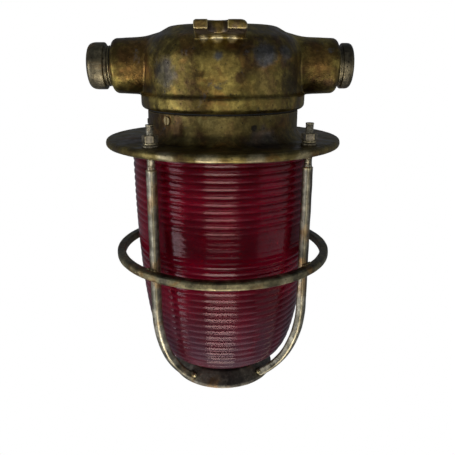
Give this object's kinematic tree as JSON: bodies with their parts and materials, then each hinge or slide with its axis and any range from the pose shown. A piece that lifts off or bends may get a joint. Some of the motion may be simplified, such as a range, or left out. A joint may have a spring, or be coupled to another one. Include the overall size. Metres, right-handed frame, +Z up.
{
  "type": "ship lantern",
  "caption": "Deckhead-mounted brass ship lantern: cable-gland junction box, flange, ribbed red glass globe in a bar guard with ring and cap, screw-cap lamp inside.",
  "frame": {"origin": "centre of the junction box's flat top face, which bears on the deckhead", "axes": "+Z up along the lantern's axis into the deckhead; X along the two cable glands; Y through the two slotted feet, the usual viewer at -Y"},
  "size_m": [0.202, 0.185, 0.2896],
  "materials": {
    "cast_brass_box": "sand-cast brass with a dark brown and olive patina, bright where rubbed",
    "cast_brass_flange": "turned cast brass, dull olive, worn pale along the rim",
    "gland_brass": "turned brass darkened to olive brown",
    "small_brass": "small turned brass parts, dull",
    "sheet_brass": "pressed sheet brass, lightly tarnished",
    "guard_brass": "brass bar, greenish grey patina with paler outer faces",
    "ring_brass": "brass ring, charcoal on top, olive on its outer face, silvery braze at the bars",
    "cap_brass": "turned brass cap, dark grey-brown",
    "fastener_metal": "small nuts and washers, grey-brown tarnish",
    "red_glass": "thick moulded glass, deep wine red, glossy",
    "clear_glass": "thin clear lamp glass",
    "joint_ring": "black fibre-rubber joint ring",
    "seal_rubber": "black seal rubber, matt",
    "porcelain": "white glazed porcelain",
    "live_insulation": "brown wire insulation",
    "neutral_insulation": "blue wire insulation",
    "lamp_cap_metal": "rolled lamp cap, satin",
    "lamp_insulation": "black glass insulator",
    "solder": "dull solder",
    "filament_wire": "fine tungsten and nickel wire"
  },
  "bodies": {
    "housing": {"junction_box": "cast_brass_box", "neck_flange": "cast_brass_flange", "body_gasket": "joint_ring", "neck_lock_screw": "small_brass", "gland_bush_left": "seal_rubber", "gland_bush_right": "seal_rubber", "terminal_block": "porcelain", "terminal_barrels": "small_brass", "terminal_block_screws": "small_brass", "earth_screw": "small_brass", "wire_live": "live_insulation", "wire_neutral": "neutral_insulation", "lampholder_plate": "sheet_brass", "lampholder_screws": "small_brass", "lampholder_body": "porcelain", "lampholder_shell": "sheet_brass", "lampholder_contact": "sheet_brass", "gland_washer_left": "small_brass", "gland_washer_right": "small_brass"},
    "left_gland_nut": {"gland_nut_left": "gland_brass"},
    "right_gland_nut": {"gland_nut_right": "gland_brass"},
    "guard": {"guard_bar_1": "guard_brass", "guard_bar_2": "guard_brass", "guard_bar_3": "guard_brass", "guard_bar_4": "guard_brass", "guard_ring": "ring_brass", "guard_cap": "cap_brass"},
    "guard_fasteners": {"guard_nuts": "fastener_metal", "guard_spring_washers": "fastener_metal", "guard_washers": "fastener_metal"},
    "globe_seal": {"globe_gasket": "seal_rubber"},
    "globe": {"globe": "red_glass"},
    "lamp": {"lamp_envelope": "clear_glass", "lamp_cap": "lamp_cap_metal", "lamp_insulator": "lamp_insulation", "lamp_tip": "solder", "lamp_stem": "clear_glass", "lamp_filament": "filament_wire"}
  },
  "joints": [
    {"name": "guard_nuts_lift", "type": "slide", "parent": "housing", "child": "guard_fasteners", "axis": [0, 0, 1], "range_m": [0, 0.02]},
    {"name": "guard_drop", "type": "slide", "parent": "housing", "child": "guard", "axis": [0, 0, -1], "range_m": [0, 0.3]},
    {"name": "globe_drop", "type": "slide", "parent": "housing", "child": "globe_seal", "axis": [0, 0, -1], "range_m": [0, 0.15]},
    {"name": "globe_turn", "type": "hinge", "parent": "globe_seal", "child": "globe", "pos_m": [0, 0, -0.089], "axis": [0, 0, 1], "range_deg": [0, 1080]},
    {"name": "lamp_turn", "type": "hinge", "parent": "housing", "child": "lamp", "pos_m": [0, 0, -0.1], "axis": [0, 0, 1], "range_deg": [0, 1080]},
    {"name": "gland_nut_turn_left", "type": "hinge", "parent": "housing", "child": "left_gland_nut", "pos_m": [-0.08, 0, -0.029], "axis": [-1, 0, 0], "range_deg": [0, 1440]},
    {"name": "gland_nut_turn_right", "type": "hinge", "parent": "housing", "child": "right_gland_nut", "pos_m": [0.08, 0, -0.029], "axis": [1, 0, 0], "range_deg": [0, 1440]}
  ],
  "couplings": [
    {"joint": "globe_drop", "follows": "guard_drop", "ratio": 0.5}
  ]
}
